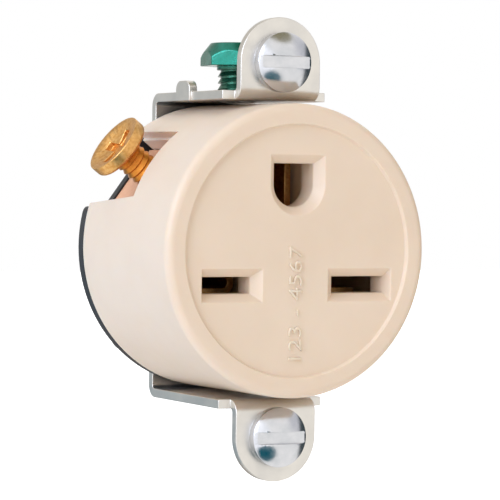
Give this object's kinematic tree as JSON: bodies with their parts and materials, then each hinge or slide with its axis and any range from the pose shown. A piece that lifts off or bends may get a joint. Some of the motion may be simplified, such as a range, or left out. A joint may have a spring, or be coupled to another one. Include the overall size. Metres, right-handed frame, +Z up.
{
  "type": "single receptacle",
  "caption": "Round flush power receptacle for a tandem-blade grounding plug, in a short U-shaped metal strap with screw ears and side wiring terminals.",
  "frame": {"origin": "midway between the two mounting screws, in the plane of the ears' back faces", "axes": "+X to the right and +Z up, seen from the face; +Y from the face to the back"},
  "size_m": [0.038, 0.0273, 0.0556],
  "materials": {
    "almond_plastic": "satin moulded",
    "dark_plastic": "satin moulded",
    "zinc_steel": "zinc plated, stamped",
    "bright_steel": "bright zinc plated",
    "green_steel": "glossy green",
    "screw_brass": "plain brass",
    "plate_brass": "plain red brass",
    "contact_brass": "plain strip brass"
  },
  "bodies": {
    "root": {"front_body": "almond_plastic", "rear_cover": "dark_plastic", "mounting_strap": "zinc_steel", "upper_mounting_screw": "bright_steel", "lower_mounting_screw": "bright_steel", "ground_screw": "green_steel", "ground_contact": "contact_brass", "ground_contact_rivet": "bright_steel", "left_terminal_screw": "screw_brass", "right_terminal_screw": "screw_brass", "left_terminal_plate": "plate_brass", "right_terminal_plate": "plate_brass", "left_line_contact": "contact_brass", "right_line_contact": "contact_brass", "upper_strap_screw": "bright_steel", "lower_strap_screw": "bright_steel", "left_cover_screw": "bright_steel", "right_cover_screw": "bright_steel"}
  },
  "joints": []
}
